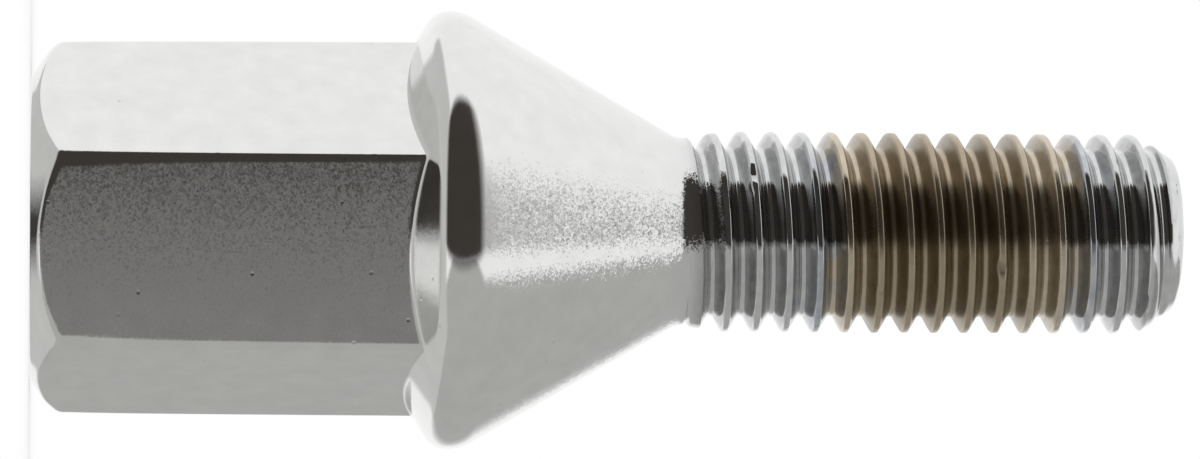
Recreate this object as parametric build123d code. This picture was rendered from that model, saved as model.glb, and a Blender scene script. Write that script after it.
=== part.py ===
# A wheel bolt, forged in one piece: a hex head, a collar, a conical seat, a neck and a rolled thread.
# It stands on its head. The origin is the centre of the head's end face, and +Z runs up to the tip.
import os
from math import cos, radians, sin, tan

from build123d import *

# Hex head, in millimetres and degrees
HEX_ACROSS_FLATS = 18.9
HEX_DRAFT = 0.1
END_CORNER_RADIUS = 0.75
COLLAR_CORNER_RADIUS = 0.4
END_FACE_DIAMETER = 17.4
END_CHAMFER_ANGLE = 35.0
END_EDGE_RADIUS = 0.4
HEAD_FILLET = 0.4

# Collar and conical seat
RIM_HEIGHT = 23.9
COLLAR_DIAMETER = 25.2
RIM_BACK_RADIUS = 1.5
RIM_SEAT_RADIUS = 2.54
COLLAR_BACK_ANGLE = 30.0
SEAT_ANGLE = 60.0
NECK_DIAMETER = 10.8
NECK_LENGTH = 1.2
NECK_BLEND_RADIUS = 2.5

# Right-hand thread
THREAD_LENGTH = 27.75
THREAD_DIAMETER = 11.6
ROOT_DIAMETER = 9.65
THREAD_PITCH = 1.75
THREAD_ANGLE = 60.0
CREST_WIDTH = 0.3
RUN_OUT_LENGTH = 1.9
RUN_OUT_SINK = 0.25
THREAD_START_ANGLE = 8.0
TIP_DIAMETER = 8.8
TIP_CHAMFER_ANGLE = 35.0

# Radii, slopes and heights worked out from these, from the collar up to the tip
COLLAR_RADIUS = COLLAR_DIAMETER / 2
NECK_RADIUS = NECK_DIAMETER / 2
CREST_RADIUS = THREAD_DIAMETER / 2
ROOT_RADIUS = ROOT_DIAMETER / 2
TIP_RADIUS = TIP_DIAMETER / 2
THREAD_DEPTH = CREST_RADIUS - ROOT_RADIUS
BACK_SLOPE = radians(COLLAR_BACK_ANGLE)
SEAT_SLOPE = radians(SEAT_ANGLE / 2)
TIP_SLOPE = radians(TIP_CHAMFER_ANGLE)
BACK_EDGE = COLLAR_RADIUS - RIM_BACK_RADIUS * (1 - sin(BACK_SLOPE))
BACK_EDGE_HEIGHT = RIM_HEIGHT - RIM_BACK_RADIUS * cos(BACK_SLOPE)
BACK_APEX_HEIGHT = BACK_EDGE_HEIGHT - BACK_EDGE * tan(BACK_SLOPE)
SEAT_EDGE = COLLAR_RADIUS - RIM_SEAT_RADIUS * (1 - cos(SEAT_SLOPE))
SEAT_EDGE_HEIGHT = RIM_HEIGHT + RIM_SEAT_RADIUS * sin(SEAT_SLOPE)
SEAT_END_HEIGHT = SEAT_EDGE_HEIGHT + (SEAT_EDGE - NECK_RADIUS) / tan(SEAT_SLOPE)
THREAD_START = SEAT_END_HEIGHT + NECK_LENGTH
TIP_HEIGHT = THREAD_START + THREAD_LENGTH
TIP_START = TIP_HEIGHT - (CREST_RADIUS - TIP_RADIUS) / tan(TIP_SLOPE) - CREST_WIDTH


def turned(outline):
    return revolve(Plane.XZ * make_face(outline), Axis.Z)


# The corners fill less towards the head's end than beside the collar, as in a forging die.
def rounded_hexagon(across_flats, corner_radius, height):
    hexagon = RegularPolygon(across_flats / 2, 6, major_radius=False)
    return Pos(0, 0, height) * fillet(hexagon.vertices(), corner_radius)


def hex_head():
    end_section = rounded_hexagon(HEX_ACROSS_FLATS - HEX_DRAFT, END_CORNER_RADIUS, 0)
    collar_section = rounded_hexagon(HEX_ACROSS_FLATS, COLLAR_CORNER_RADIUS, RIM_HEIGHT)
    prism = loft([end_section, collar_section], ruled=True)
    end_radius = END_FACE_DIAMETER / 2
    chamfer_height = (HEX_ACROSS_FLATS - end_radius) * tan(radians(END_CHAMFER_ANGLE))
    envelope = FilletPolyline(
        (0, 0),
        (end_radius, 0),
        (HEX_ACROSS_FLATS, chamfer_height),
        (HEX_ACROSS_FLATS, RIM_HEIGHT),
        (0, RIM_HEIGHT),
        radius=(0, END_EDGE_RADIUS, 0, 0, 0),
        close=True,
    )
    return prism & turned(envelope)


# Above the neck, the core tapers to the thread's root, so that the groove runs out on it.
def collar_seat_and_neck():
    back = Line((0, BACK_APEX_HEIGHT), (BACK_EDGE, BACK_EDGE_HEIGHT))
    rim_back = TangentArc(back @ 1, (COLLAR_RADIUS, RIM_HEIGHT), tangent=back % 1)
    rim_seat = TangentArc(rim_back @ 1, (SEAT_EDGE, SEAT_EDGE_HEIGHT), tangent=rim_back % 1)
    blend_reach = NECK_BLEND_RADIUS * tan(SEAT_SLOPE / 2)
    blend_start = NECK_RADIUS + blend_reach * sin(SEAT_SLOPE)
    seat = Line(rim_seat @ 1, (blend_start, SEAT_END_HEIGHT - blend_reach * cos(SEAT_SLOPE)))
    blend = TangentArc(seat @ 1, (NECK_RADIUS, SEAT_END_HEIGHT + blend_reach), tangent=seat % 1)
    core_radius = ROOT_RADIUS - RUN_OUT_SINK
    core_height = RUN_OUT_LENGTH * (NECK_RADIUS - core_radius) / (NECK_RADIUS - ROOT_RADIUS)
    core = Polyline(
        blend @ 1,
        (NECK_RADIUS, THREAD_START),
        (core_radius, THREAD_START + core_height),
        (0, THREAD_START + core_height),
        (0, BACK_APEX_HEIGHT),
    )
    return turned([back, rim_back, rim_seat, seat, blend, core])


def polar(radius, angle):
    return (radius * cos(radians(angle)), radius * sin(radians(angle)))


# Across the axis, the thread is a crest arc, a root arc and two flanks that spiral between them.
def thread_section():
    degrees_per_height = 360 / THREAD_PITCH
    crest_half = CREST_WIDTH / 2 * degrees_per_height
    flank_turn = THREAD_DEPTH * tan(radians(THREAD_ANGLE / 2)) * degrees_per_height
    crest_end = polar(CREST_RADIUS, crest_half)
    flank_middle = polar(CREST_RADIUS - THREAD_DEPTH / 2, crest_half + flank_turn / 2)
    root_end = polar(ROOT_RADIUS, crest_half + flank_turn)
    falling_flank = ThreePointArc(crest_end, flank_middle, root_end)
    rising_flank = mirror(falling_flank, Plane.XZ)
    crest = ThreePointArc(rising_flank @ 0, (CREST_RADIUS, 0), crest_end)
    root = ThreePointArc(root_end, (-ROOT_RADIUS, 0), rising_flank @ 1)
    return make_face([crest, falling_flank, root, rising_flank])


def thread(bottom, top):
    turn_below = 360 * (bottom - THREAD_START) / THREAD_PITCH
    turn = 360 * (top - bottom) / THREAD_PITCH
    section = thread_section().face()
    length = Solid.extrude_linear_with_rotation(section, (0, 0, 0), (0, 0, top - bottom), turn)
    return Pos(0, 0, bottom) * Rot(0, 0, THREAD_START_ANGLE + turn_below) * length


def thread_tip():
    outer_radius = CREST_RADIUS + THREAD_DEPTH
    envelope = turned(
        Polyline(
            (0, THREAD_START),
            (outer_radius, THREAD_START),
            (outer_radius, TIP_HEIGHT - (outer_radius - TIP_RADIUS) / tan(TIP_SLOPE)),
            (TIP_RADIUS, TIP_HEIGHT),
            (0, TIP_HEIGHT),
            close=True,
        )
    )
    return thread(TIP_START, TIP_HEIGHT) & envelope


def wheel_bolt():
    head = hex_head()
    collar = collar_seat_and_neck()
    forging = head + collar
    forging = fillet(new_edges(head, collar, combined=forging), HEAD_FILLET)
    return forging + thread(THREAD_START, TIP_START) + thread_tip()


os.makedirs("parts", exist_ok=True)
export_step(wheel_bolt(), "parts/wheel_bolt.step")
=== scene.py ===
import math

import bpy
from mathutils import Matrix, Vector, noise


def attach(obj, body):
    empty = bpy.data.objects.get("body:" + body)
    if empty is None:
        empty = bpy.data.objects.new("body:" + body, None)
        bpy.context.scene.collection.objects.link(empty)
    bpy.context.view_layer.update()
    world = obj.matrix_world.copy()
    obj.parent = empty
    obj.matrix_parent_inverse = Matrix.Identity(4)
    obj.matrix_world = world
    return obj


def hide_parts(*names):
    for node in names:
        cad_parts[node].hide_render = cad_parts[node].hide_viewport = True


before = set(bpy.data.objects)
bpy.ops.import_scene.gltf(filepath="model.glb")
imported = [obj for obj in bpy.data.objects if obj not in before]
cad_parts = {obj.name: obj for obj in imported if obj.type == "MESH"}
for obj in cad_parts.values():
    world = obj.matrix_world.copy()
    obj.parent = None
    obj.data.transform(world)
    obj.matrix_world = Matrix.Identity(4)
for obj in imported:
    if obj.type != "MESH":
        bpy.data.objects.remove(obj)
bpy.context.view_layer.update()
mm = 0.001
print("frame loaded", sorted(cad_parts))


# shared helpers

def deselectAll():
    if bpy.context.object and bpy.context.object.mode != "OBJECT":
        bpy.ops.object.mode_set(mode="OBJECT")
    bpy.ops.object.select_all(action="DESELECT")


def drawOutline(name, points):
    deselectAll()
    bpy.ops.mesh.primitive_plane_add(size=mm, location=(0, 0, 0))
    obj = bpy.context.object
    obj.name = name
    bpy.ops.object.mode_set(mode="EDIT")
    bpy.ops.mesh.select_all(action="SELECT")
    bpy.ops.mesh.merge(type="CENTER")
    here = Vector((0, 0, 0))
    for count, (r, z) in enumerate(points):
        there = Vector((r * mm, 0, z * mm))
        step = there - here
        if count == 0:
            bpy.ops.transform.translate(value=step)
        else:
            bpy.ops.mesh.extrude_vertices_move(TRANSFORM_OT_translate={"value": step})
        here = there
    bpy.ops.object.mode_set(mode="OBJECT")
    return obj


def arcPoints(centre, radius, startDeg, endDeg, count):
    points = []
    for i in range(count + 1):
        a = math.radians(startDeg + (endDeg - startDeg) * i / count)
        points.append((centre[0] + radius * math.cos(a), centre[1] + radius * math.sin(a)))
    return points


def spacedPoints(start, end, count):
    points = []
    for i in range(1, count + 1):
        t = i / count
        points.append((start[0] + (end[0] - start[0]) * t, start[1] + (end[1] - start[1]) * t))
    return points


def softMin(a, b, width):
    h = max(width - abs(a - b), 0) / width
    return min(a, b) - h * h * width / 4


def softMax(a, b, width):
    return -softMin(-a, -b, width)


def mix(a, b, t):
    return a + (b - a) * t


def clamp01(t):
    return max(0.0, min(1.0, t))


# head, collar, seat and neck: a round blank is spun, then its flats are pressed

head = {
    "acrossFlats": 18.9, "draft": 0.1, "endCorner": 0.75, "collarCorner": 0.4,
    "endFace": 17.4, "chamferDeg": 35, "endEdge": 0.4, "chamferSoft": 0.25,
    "cornerSoft": 0.75, "endWear": 0.8, "endWearReach": 3,  # rounder corners at the end
    "rimHeight": 23.9, "collar": 25.2, "rimBack": 1.5, "rimSeat": 2.54,
    "backDeg": 30, "jointSoft": 0.32,
    "seatHalfDeg": 30, "neck": 10.8, "neckLength": 0.35, "neckBlend": 1.0,
    "columns": 300, "crowding": 0.6, "chamferRows": 34, "flatRows": 12, "jointRows": 26,
}
back = math.radians(head["backDeg"])
seat = math.radians(head["seatHalfDeg"])
chamfer = math.radians(head["chamferDeg"])
backCentre = head["collar"] / 2 - head["rimBack"]
seatCentre = head["collar"] / 2 - head["rimSeat"]
backEdge = (backCentre + head["rimBack"] * math.sin(back), head["rimHeight"] - head["rimBack"] * math.cos(back))
seatEdge = (seatCentre + head["rimSeat"] * math.cos(seat), head["rimHeight"] + head["rimSeat"] * math.sin(seat))
neckRadius = head["neck"] / 2
seatEnd = seatEdge[1] + (seatEdge[0] - neckRadius) / math.tan(seat)
threadStart = seatEnd + head["neckLength"]
bridgeGap = 0.12  # left open below the thread, then bridged


def offCorner(angle):
    return abs((angle + math.pi / 6) % (math.pi / 3) - math.pi / 6)


def flatsRadius(angle, z):
    along = clamp01(z / head["rimHeight"])
    apothem = (head["acrossFlats"] - head["draft"] * (1 - along)) / 2
    corner = mix(head["endCorner"], head["collarCorner"], along)
    corner += head["endWear"] * math.exp(-z / head["endWearReach"])
    fromCorner = offCorner(angle)
    centre = (apothem - corner) / math.cos(math.pi / 6)
    tangent = math.atan2(corner * 0.5, centre + corner * math.cos(math.pi / 6))
    if fromCorner > tangent:
        return apothem / math.cos(math.pi / 6 - fromCorner)
    across = centre * math.sin(fromCorner)
    return centre * math.cos(fromCorner) + math.sqrt(corner ** 2 - across ** 2)


def blankOutline():
    endRadius = head["endFace"] / 2
    reach = head["endEdge"] * math.tan(chamfer / 2)
    edge = arcPoints((endRadius - reach, head["endEdge"]), head["endEdge"], -90, -90 + head["chamferDeg"], 6)
    points = [(0, 0), (3, 0), (6, 0), (8, 0)] + edge
    chamferTop = (head["acrossFlats"] * 0.6, (head["acrossFlats"] * 0.6 - endRadius) * math.tan(chamfer))
    points += spacedPoints(edge[-1], chamferTop, head["chamferRows"])
    flatTop = (chamferTop[0], backEdge[1] - 2.1)
    points += spacedPoints(chamferTop, flatTop, head["flatRows"])
    points += spacedPoints(flatTop, backEdge, head["jointRows"])
    points += arcPoints((backCentre, head["rimHeight"]), head["rimBack"], head["backDeg"] - 90, 0, 14)[1:]
    points += arcPoints((seatCentre, head["rimHeight"]), head["rimSeat"], 0, head["seatHalfDeg"], 10)[1:]
    blendReach = head["neckBlend"] * math.tan(seat / 2)
    seatFoot = (neckRadius + blendReach * math.sin(seat), seatEnd - blendReach * math.cos(seat))
    points += spacedPoints(seatEdge, seatFoot, 14)
    blendCentre = (neckRadius + head["neckBlend"], seatEnd + blendReach)
    points += arcPoints(blendCentre, head["neckBlend"], 180 + head["seatHalfDeg"], 180, 8)[1:]
    points += spacedPoints((neckRadius, seatEnd + blendReach), (neckRadius, threadStart - bridgeGap), 2)
    return points


def makeHead():
    obj = drawOutline("headBlank", blankOutline())
    bpy.ops.object.mode_set(mode="EDIT")
    bpy.ops.mesh.select_all(action="SELECT")
    bpy.ops.mesh.spin(
        steps=head["columns"], angle=2 * math.pi, center=(0, 0, 0), axis=(0, 0, 1), use_auto_merge=True,
    )
    bpy.ops.mesh.select_all(action="SELECT")
    bpy.ops.mesh.remove_doubles(threshold=mm * 0.0005)
    bpy.ops.object.mode_set(mode="OBJECT")
    pressFlats(obj)
    print("head spun and pressed", len(obj.data.vertices))
    return obj


def pressFlats(obj):
    joint = backEdge[1] - 2.2
    for v in obj.data.vertices:
        x, y, z = v.co / mm
        r = math.hypot(x, y)
        if r < 0.01:
            continue
        angle = math.atan2(y, x)
        angle -= head["crowding"] / 6 * math.sin(6 * angle)
        if z < joint:
            away = max(clamp01(math.degrees(offCorner(angle)) / 13), clamp01(z / 2 - 0.8))
            soft = mix(head["cornerSoft"], head["chamferSoft"], away * away * (3 - 2 * away))
            r = softMin(r, flatsRadius(angle, z), soft)
        elif z < backEdge[1] + 0.001:
            cone = backEdge[0] - (backEdge[1] - z) / math.tan(back)
            r = softMax(cone, flatsRadius(angle, z), head["jointSoft"])
            r = min(r, backEdge[0])
        v.co = Vector((r * math.cos(angle), r * math.sin(angle), z)) * mm


# thread: one pitch of the groove, screwed up the shank and trimmed at both ends

thread = {
    "length": 28.6, "crest": 11.6, "root": 9.65, "pitch": 1.75, "crestWidth": 0.3, "flankDeg": 30,
    "startDeg": -166.9, "leadIn": 2.2, "runOut": 0.6, "tip": 8.8, "tipDeg": 35, "tipEdge": 0.12,
    "steps": 132, "crestSoft": 0.05,
}
tipHeight = threadStart + thread["length"]
crestRadius = thread["crest"] / 2
rootRadius = thread["root"] / 2


def pitchOutline():
    depth = crestRadius - rootRadius
    slope = math.tan(math.radians(thread["flankDeg"]))
    crestHalf = thread["crestWidth"] / 2
    rootHalf = thread["pitch"] / 2 - crestHalf - depth * slope
    rootArc = rootHalf / slope
    half = arcPoints((rootRadius + rootArc, 0), rootArc, 180, 120, 4)
    flankFoot = half[-1]
    flankTop = (crestRadius - thread["crestSoft"], thread["pitch"] / 2 - crestHalf - thread["crestSoft"] * slope)
    half += spacedPoints(flankFoot, flankTop, 4)
    half += [(crestRadius - thread["crestSoft"] * 0.25, thread["pitch"] / 2 - crestHalf * 0.93)]
    half += [(crestRadius, thread["pitch"] / 2 - crestHalf * 0.75)]
    half += [(crestRadius, thread["pitch"] / 2)]
    other = [(r, thread["pitch"] - z) for r, z in reversed(half[:-1])]
    return half + other


def makeThread():
    obj = drawOutline("threadTurns", pitchOutline())
    turns = math.ceil(thread["length"] / thread["pitch"]) + 3
    bpy.ops.object.modifier_add(type="SCREW")
    screw = obj.modifiers[-1]
    screw.axis = "Z"
    screw.screw_offset = thread["pitch"] * mm
    screw.iterations = turns
    screw.steps = thread["steps"]
    screw.render_steps = thread["steps"]
    screw.use_smooth_shade = True
    bpy.ops.object.modifier_apply(modifier=screw.name)
    crestTurn = math.radians(thread["startDeg"])  # the crest's direction at the thread's foot
    foot = threadStart - thread["pitch"] * 1.5
    bpy.ops.object.mode_set(mode="EDIT")
    bpy.ops.mesh.select_all(action="SELECT")
    bpy.ops.mesh.remove_doubles(threshold=mm * 0.0005)
    bpy.ops.object.mode_set(mode="OBJECT")
    obj.data.transform(Matrix.Translation((0, 0, foot * mm)) @ Matrix.Rotation(crestTurn, 4, "Z"))
    bpy.ops.object.mode_set(mode="EDIT")
    for height, side, fill in ((threadStart, -1, False), (tipHeight, 1, True)):
        bpy.ops.mesh.select_all(action="SELECT")
        bpy.ops.mesh.bisect(
            plane_co=(0, 0, height * mm), plane_no=(0, 0, side), use_fill=fill,
            clear_outer=True, clear_inner=False, threshold=mm * 0.0001,
        )
    bpy.ops.object.mode_set(mode="OBJECT")
    trimThread(obj)
    print("thread screwed and trimmed", len(obj.data.vertices))
    return obj


def trimThread(obj):
    tipSlope = math.tan(math.radians(thread["tipDeg"]))
    for v in obj.data.vertices:
        x, y, z = v.co / mm
        r = math.hypot(x, y)
        if r < 0.01:
            continue
        up = z - threadStart
        down = tipHeight - z
        lead = neckRadius + (crestRadius - neckRadius) * clamp01(up / thread["leadIn"])
        runOut = neckRadius - (neckRadius - rootRadius) * up / thread["runOut"]
        cone = thread["tip"] / 2 + down * tipSlope
        trimmed = max(min(r, lead), runOut)
        trimmed = softMin(trimmed, cone, 0.15)
        if down < thread["tipEdge"]:
            trimmed -= 0.6 * (thread["tipEdge"] - down) ** 2 / thread["tipEdge"]
        trimmed -= wear(x, y, z, r)
        v.co.x *= trimmed / r
        v.co.y *= trimmed / r


nicks = [  # height, direction in degrees, reach and depth of dents in the crests
    (41.1, 227, 0.6, 0.17), (40.9, 236, 0.4, 0.12), (48.6, 300, 0.45, 0.16), (55.2, 283, 0.6, 0.2),
    (55.9, 318, 0.4, 0.14), (62.4, 215, 0.45, 0.16), (51.0, 40, 0.5, 0.18), (58.3, 120, 0.5, 0.16),
    (44.7, 160, 0.45, 0.16),
]


def wear(x, y, z, r):
    if r < crestRadius - 0.35 or z > tipHeight - 0.3 or z < threadStart + 0.3:
        return 0
    high = (r - crestRadius + 0.35) / 0.35
    worn = 0.035 * high * (0.5 + noise.noise(Vector((x, y, z)) * 0.9))
    worn += 0.02 * high * max(0, noise.noise(Vector((x, y, z)) * 2.6))
    for height, directionDeg, reach, depth in nicks:
        direction = math.radians(directionDeg)
        dent = (crestRadius * math.cos(direction), crestRadius * math.sin(direction), height)
        apart = math.dist((x, y, z), dent)
        if apart < reach:
            worn += depth * high * (1 - (apart / reach) ** 2)
    return worn


def makeBolt():
    body = makeHead()
    turns = makeThread()
    deselectAll()
    turns.select_set(True)
    body.select_set(True)
    bpy.context.view_layer.objects.active = body
    bpy.ops.object.join()
    body.name = "boltPlated"
    bpy.ops.object.mode_set(mode="EDIT")
    bpy.ops.mesh.select_mode(type="EDGE")
    bpy.ops.mesh.select_all(action="DESELECT")
    bpy.ops.mesh.select_non_manifold(
        extend=False, use_wire=False, use_boundary=True, use_multi_face=False,
        use_non_contiguous=False, use_verts=False,
    )
    bpy.ops.mesh.bridge_edge_loops()
    bpy.ops.mesh.select_all(action="SELECT")
    bpy.ops.mesh.normals_make_consistent(inside=False)
    bpy.ops.object.mode_set(mode="OBJECT")
    bpy.ops.object.shade_smooth_by_angle(angle=math.radians(42))
    print("bolt joined", len(body.data.polygons))
    return body


# materials

plate = {
    "silver": (0.80, 0.80, 0.79), "worn": (0.72, 0.725, 0.725), "blue": (0.53, 0.56, 0.61),
    "tan": (0.66, 0.58, 0.46), "brown": (0.49, 0.41, 0.30),
    "grainSize": 0.09, "pitDepth": 0.006, "pitSpacing": 1.3, "cloudSize": 1.4, "grimeSize": 0.9,
    "allGrain": 0.004, "headGrain": 0.009, "seatGrain": (0.045, 0.1),  # how far the grain leans
    # the flank value darkens the thread's flanks between root and crest as painted shade; the streak value is
    # real grime in streaks
    "flankPaintedShade": 0.3, "streakDull": 0.12, "satinRough": 0.2,
    "headEnd": 21.5, "seatStart": 25.6, "seatStop": 37.8, "threadFoot": 37.4,  # heights in mm
    "stainStart": 36, "stainStop": 66,
}


def newMaterial(name):
    material = bpy.data.materials.new(name)
    material.use_nodes = True
    nodes = material.node_tree.nodes
    nodes.clear()
    output = nodes.new("ShaderNodeOutputMaterial")
    return material, nodes, material.node_tree.links, output


def addMath(tree, operation, first, second):
    node = tree.nodes.new("ShaderNodeMath")
    node.operation = operation
    for socket, value in zip(node.inputs, (first, second)):
        if hasattr(value, "is_linked"):
            tree.links.new(value, socket)
        else:
            socket.default_value = value
    return node.outputs[0]


def addRange(tree, value, low, high, outLow, outHigh):
    node = tree.nodes.new("ShaderNodeMapRange")
    tree.links.new(value, node.inputs["Value"])
    node.inputs["From Min"].default_value = low
    node.inputs["From Max"].default_value = high
    node.inputs["To Min"].default_value = outLow
    node.inputs["To Max"].default_value = outHigh
    return node.outputs["Result"]


def addNoise(tree, vector, size, detail):
    node = tree.nodes.new("ShaderNodeTexNoise")
    tree.links.new(vector, node.inputs["Vector"])
    node.inputs["Scale"].default_value = 1 / size
    node.inputs["Detail"].default_value = detail
    return node.outputs["Fac"]


def addRamp(tree, value, stops):
    node = tree.nodes.new("ShaderNodeValToRGB")
    tree.links.new(value, node.inputs["Fac"])
    ramp = node.color_ramp
    while len(ramp.elements) < len(stops):
        ramp.elements.new(0.5)
    for element, (place, colour) in zip(ramp.elements, stops):
        element.position = place
    for element, (place, colour) in zip(ramp.elements, stops):
        element.color = (*colour, 1)
    return node.outputs["Color"]


def inMillimetres(tree):
    place = tree.nodes.new("ShaderNodeTexCoord")
    mapping = tree.nodes.new("ShaderNodeMapping")
    mapping.inputs["Scale"].default_value = (1 / mm, 1 / mm, 1 / mm)
    tree.links.new(place.outputs["Object"], mapping.inputs["Vector"])
    return mapping.outputs["Vector"]


def addVector(tree, operation, first, second):
    node = tree.nodes.new("ShaderNodeVectorMath")
    node.operation = operation
    for socket, value in zip(node.inputs, (first, second)):
        if hasattr(value, "is_linked"):
            tree.links.new(value, socket)
        elif value is not None:
            socket.default_value = value
    return node.outputs["Vector"]


def scaled(tree, vector, factor):
    node = tree.nodes.new("ShaderNodeVectorMath")
    node.operation = "SCALE"
    tree.links.new(vector, node.inputs[0])
    tree.links.new(factor, node.inputs["Scale"])
    return node.outputs["Vector"]


def addGrain(tree, place, normal, tilt):
    total = normal
    for size in (0.65, 1.35):
        cells = tree.nodes.new("ShaderNodeTexVoronoi")
        cells.inputs["Scale"].default_value = 1 / (plate["grainSize"] * size)
        tree.links.new(place, cells.inputs["Vector"])
        lean = addVector(tree, "SUBTRACT", cells.outputs["Color"], (0.5, 0.5, 0.5))
        total = addVector(tree, "ADD", total, scaled(tree, lean, tilt))
    return addVector(tree, "NORMALIZE", total, None)


def addPits(tree, place):
    cells = tree.nodes.new("ShaderNodeTexVoronoi")
    cells.inputs["Scale"].default_value = 1 / plate["pitSpacing"]
    tree.links.new(place, cells.inputs["Vector"])
    pick = tree.nodes.new("ShaderNodeSeparateColor")
    tree.links.new(cells.outputs["Color"], pick.inputs[0])
    chosen = addRange(tree, pick.outputs[0], 0.6, 0.95, 0, 1)
    dot = addRange(tree, cells.outputs["Distance"], 0.03, 0.11, 1, 0)
    return addMath(tree, "MULTIPLY", chosen, dot)


def platedSteel():
    material, nodes, links, output = newMaterial("platedSteel")
    tree = material.node_tree
    shader = nodes.new("ShaderNodeBsdfPrincipled")
    shader.inputs["Metallic"].default_value = 1.0
    links.new(shader.outputs["BSDF"], output.inputs["Surface"])
    place = inMillimetres(tree)
    split = nodes.new("ShaderNodeSeparateXYZ")
    links.new(place, split.inputs[0])
    height = split.outputs["Z"]
    pits = addPits(tree, place)
    cloud = addNoise(tree, place, plate["cloudSize"], 4)
    onHead = addRange(tree, height, plate["headEnd"] - 0.4, plate["headEnd"] + 0.4, 1, 0)
    overCollar = addRange(tree, height, plate["seatStart"] - 0.6, plate["seatStart"] + 1, 0, 1)
    underThread = addRange(tree, height, plate["seatStop"], plate["threadFoot"] + 2.5, 1, 0)
    onSeat = addMath(tree, "MULTIPLY", overCollar, underThread)
    wobble = addMath(tree, "ADD", height, addRange(tree, cloud, 0.3, 0.7, -0.5, 0.5))
    along = addRange(tree, wobble, plate["stainStart"], plate["stainStop"], 0, 1)
    stain = addRamp(tree, along, stainStops())
    clouded = addRange(tree, cloud, 0.3, 0.7, 0.955, 1.03)
    colourScale = addMath(tree, "MULTIPLY", clouded, addRange(tree, pits, 0, 1, 1, 0.8))
    onThread = addRange(tree, height, plate["threadFoot"], plate["threadFoot"] + 1, 0, 1)
    streaks = addNoise(tree, addVector(tree, "MULTIPLY", place, (1, 1, 3)), plate["grimeSize"], 3)
    outward = nodes.new("ShaderNodeVectorMath")
    outward.operation = "LENGTH"
    links.new(addVector(tree, "MULTIPLY", place, (1, 1, 0)), outward.inputs[0])
    radius = outward.outputs["Value"]
    # the flanks between root and crest are darkened as painted shade, and noise streaks add real grime on top
    overRoot = addRange(tree, radius, 4.87, 5.0, 0, 1)
    underCrest = addRange(tree, radius, 5.58, 5.7, 1, 0)
    onFlank = addMath(tree, "MULTIPLY", overRoot, underCrest)
    streaked = addRange(tree, streaks, 0.35, 0.65, 0, plate["streakDull"])
    streakGrimeAndFlankShade = addMath(tree, "ADD", streaked, addMath(tree, "MULTIPLY", onFlank, plate["flankPaintedShade"]))
    grimeAndFlankShade = addMath(tree, "MULTIPLY", onThread, streakGrimeAndFlankShade)
    # the base colour is scaled by clouds, pits, grime streaks and the painted shade on the flanks
    colourScale = addMath(tree, "MULTIPLY", colourScale, addMath(tree, "SUBTRACT", 1, grimeAndFlankShade))
    links.new(scaled(tree, stain, colourScale), shader.inputs["Base Color"])
    # the brown stain is satin
    stainFoot = addRange(tree, wobble, 45.5, 48, 0, 1)
    satin = addMath(tree, "MULTIPLY", stainFoot, addRange(tree, wobble, 58, 60.5, 1, 0))
    satinRough = addMath(tree, "MULTIPLY", satin, plate["satinRough"])
    rough = addMath(tree, "ADD", addRange(tree, cloud, 0.3, 0.7, 0.07, 0.1), satinRough)
    links.new(rough, shader.inputs["Roughness"])
    bump = nodes.new("ShaderNodeBump")
    bump.inputs["Distance"].default_value = plate["pitDepth"] * mm
    bump.invert = True
    links.new(pits, bump.inputs["Height"])
    seatLean = addMath(tree, "MULTIPLY", onSeat, addRange(tree, height, 27, 37, *plate["seatGrain"]))
    headLean = addMath(tree, "MULTIPLY", onHead, plate["headGrain"])
    tilt = addMath(tree, "ADD", addMath(tree, "ADD", seatLean, headLean), plate["allGrain"])
    links.new(addGrain(tree, place, bump.outputs["Normal"], tilt), shader.inputs["Normal"])
    print("plate made", len(nodes), "nodes")
    return material


def stainStops():
    worn, blue, tan, brown = plate["worn"], plate["blue"], plate["tan"], plate["brown"]
    low, high = plate["stainStart"], plate["stainStop"]
    places = [
        (low, plate["silver"]), (38.5, worn), (44.2, worn), (45.0, blue), (46.0, tan), (48.5, brown),
        (55.5, brown), (57.8, tan), (59.4, tan), (60.3, blue), (61.2, worn), (high, worn),
    ]
    return [((z - low) / (high - low), colour) for z, colour in places]


# studio: white all round, with a few plain cards that stand about the bolt

studio = {
    "white": 1.0, "floorColour": 0.93,
    # corners in mm: toward the camera, up in the picture, along the bolt
    # fades are the soft shares of a card's four sides
    "cards": {
        "frontCard": {
            "colour": (0.05, 0.045, 0.04), "fades": (0.04, 0.3, 0.2, 0.22),
            "low": (600, -250, -3000), "high": (600, 2400, 1700),
        },
        "sideCard": {
            "colour": (0.46, 0.46, 0.45), "fades": (0.2, 0.01, 0.1, 0.1),
            "low": (-1600, -600, -1800), "high": (2100, -600, 1800),
        },
        "lowCard": {
            "colour": (0.6, 0.6, 0.59), "fades": (0.1, 0.1, 0.1, 0.1),
            "low": (-1200, -1000, -620), "high": (300, 1000, -620),
        },
        "lowStrip": {
            "colour": (0.05, 0.05, 0.05), "fades": (0.1, 0.1, 0.4, 0.4),
            "low": (-900, -140, -600), "high": (-40, 140, -600),
        },
    },
}
view = {
    "distance": 324, "height": 1.5, "directionDeg": 262.3, "aimHeight": 32.7, "aimUp": 0.09,
    "rollDeg": 0.35, "focalPixels": 5641, "imageWidth": 1200, "sensor": 36,
}


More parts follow.
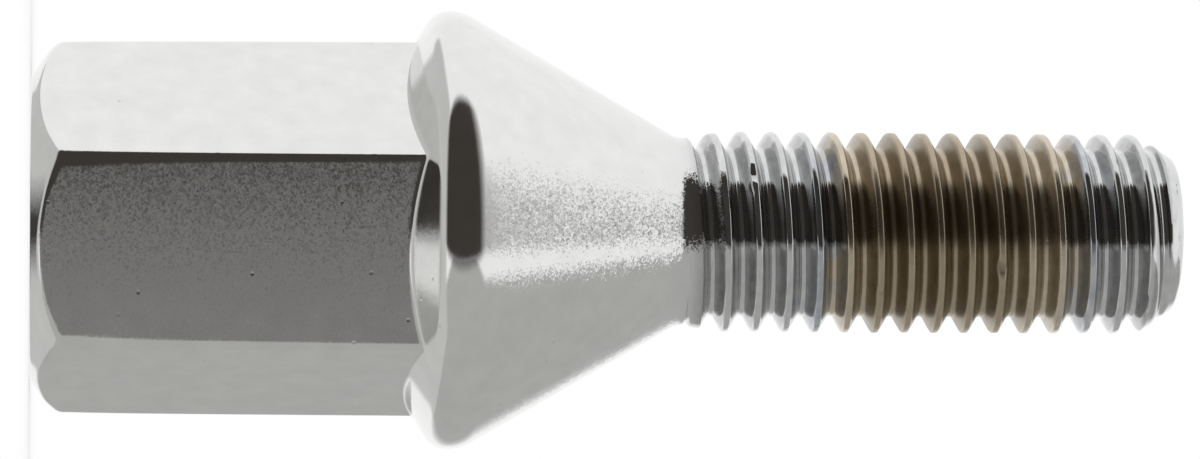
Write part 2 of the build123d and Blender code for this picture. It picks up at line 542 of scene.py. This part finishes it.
def makeCamera():
    toward = math.radians(view["directionDeg"])
    towardCamera = Vector((math.cos(toward), math.sin(toward), 0))
    imageUp = Vector((math.cos(toward - math.pi / 2), math.sin(toward - math.pi / 2), 0))
    place = towardCamera * view["distance"] * mm + Vector((0, 0, view["height"] * mm))
    aim = Vector((0, 0, view["aimHeight"] * mm)) + imageUp * view["aimUp"] * mm
    backward = (place - aim).normalized()
    right = (Vector((0, 0, 1)) - backward * backward.z).normalized()
    up = backward.cross(right)
    turn = Matrix.Rotation(math.radians(view["rollDeg"]), 3, backward)
    axes = Matrix((turn @ right, turn @ up, backward)).transposed()
    data = bpy.data.cameras.new("photoCamera")
    data.sensor_width = view["sensor"]
    data.lens = view["focalPixels"] / view["imageWidth"] * view["sensor"]
    data.clip_start = 0.01
    data.clip_end = 20
    camera = bpy.data.objects.new("photoCamera", data)
    camera.matrix_world = Matrix.Translation(place) @ axes.to_4x4()
    bpy.context.scene.collection.objects.link(camera)
    bpy.context.scene.camera = camera
    return towardCamera, imageUp


def makeFloor():
    deselectAll()
    bpy.ops.mesh.primitive_plane_add(size=3, location=(0, 0, 0))
    floor = bpy.context.object
    floor.name = "floor"
    material, nodes, links, output = newMaterial("floorPaper")
    tree = material.node_tree
    paper = nodes.new("ShaderNodeBsdfDiffuse")
    paper.inputs["Color"].default_value = (studio["floorColour"],) * 3 + (1,)
    far = nodes.new("ShaderNodeEmission")
    length = nodes.new("ShaderNodeVectorMath")
    length.operation = "LENGTH"
    links.new(inMillimetres(tree), length.inputs[0])
    fade = nodes.new("ShaderNodeMixShader")
    links.new(addRange(tree, length.outputs["Value"], 15, 110, 0.5, 1), fade.inputs[0])
    links.new(paper.outputs[0], fade.inputs[1])
    links.new(far.outputs[0], fade.inputs[2])
    links.new(fade.outputs[0], output.inputs["Surface"])
    floor.data.materials.append(material)
    floor.visible_glossy = False  # it only takes the shadow


def addFade(tree, value, first, last):
    rising = addRange(tree, value, 0, first, 0, 1)
    falling = addRange(tree, value, 1 - last, 1, 1, 0)
    return addMath(tree, "MULTIPLY", rising, falling)


def makeCard(name, card, axes):
    low, high = card["low"], card["high"]
    deselectAll()
    bpy.ops.mesh.primitive_plane_add(size=1, location=(0, 0, 0))
    obj = bpy.context.object
    obj.name = name
    across = [i for i in range(3) if low[i] != high[i]]
    for count, v in enumerate(obj.data.vertices):
        corner = list(low)
        for bit, i in enumerate(across):
            corner[i] = high[i] if count >> bit & 1 else low[i]
        v.co = sum((axis * reach * mm for axis, reach in zip(axes, corner)), Vector())
    material, nodes, links, output = newMaterial(name)
    tree = material.node_tree
    place = nodes.new("ShaderNodeTexCoord")
    split = nodes.new("ShaderNodeSeparateXYZ")
    links.new(place.outputs["UV"], split.inputs[0])
    fades = card["fades"]
    acrossFade = addFade(tree, split.outputs["X"], *fades[:2])
    alongFade = addFade(tree, split.outputs["Y"], *fades[2:])
    shown = addMath(tree, "MULTIPLY", acrossFade, alongFade)
    clear = nodes.new("ShaderNodeBsdfTransparent")
    face = nodes.new("ShaderNodeEmission")
    face.inputs["Color"].default_value = (*card["colour"], 1)
    edge = nodes.new("ShaderNodeMixShader")
    links.new(shown, edge.inputs[0])
    links.new(clear.outputs[0], edge.inputs[1])
    links.new(face.outputs[0], edge.inputs[2])
    links.new(edge.outputs[0], output.inputs["Surface"])
    obj.data.materials.append(material)
    obj.visible_camera = False  # stands out of the picture
    obj.visible_diffuse = False
    obj.visible_shadow = False


def makeWorld():
    world = bpy.data.worlds.new("studioWorld")
    bpy.context.scene.world = world
    world.use_nodes = True
    glow = world.node_tree.nodes["Background"]
    glow.inputs["Color"].default_value = (1, 1, 1, 1)
    glow.inputs["Strength"].default_value = studio["white"]


bolt = makeBolt()
bolt.data.materials.clear()
bolt.data.materials.append(platedSteel())
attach(bolt, "root")
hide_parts("wheel_bolt")

towardCamera, imageUp = makeCamera()
makeFloor()
for cardName, card in studio["cards"].items():
    makeCard(cardName, card, (towardCamera, imageUp, Vector((0, 0, 1))))
print("studio set", len(studio["cards"]), "cards")
makeWorld()
bpy.context.scene.view_settings.view_transform = "Standard"
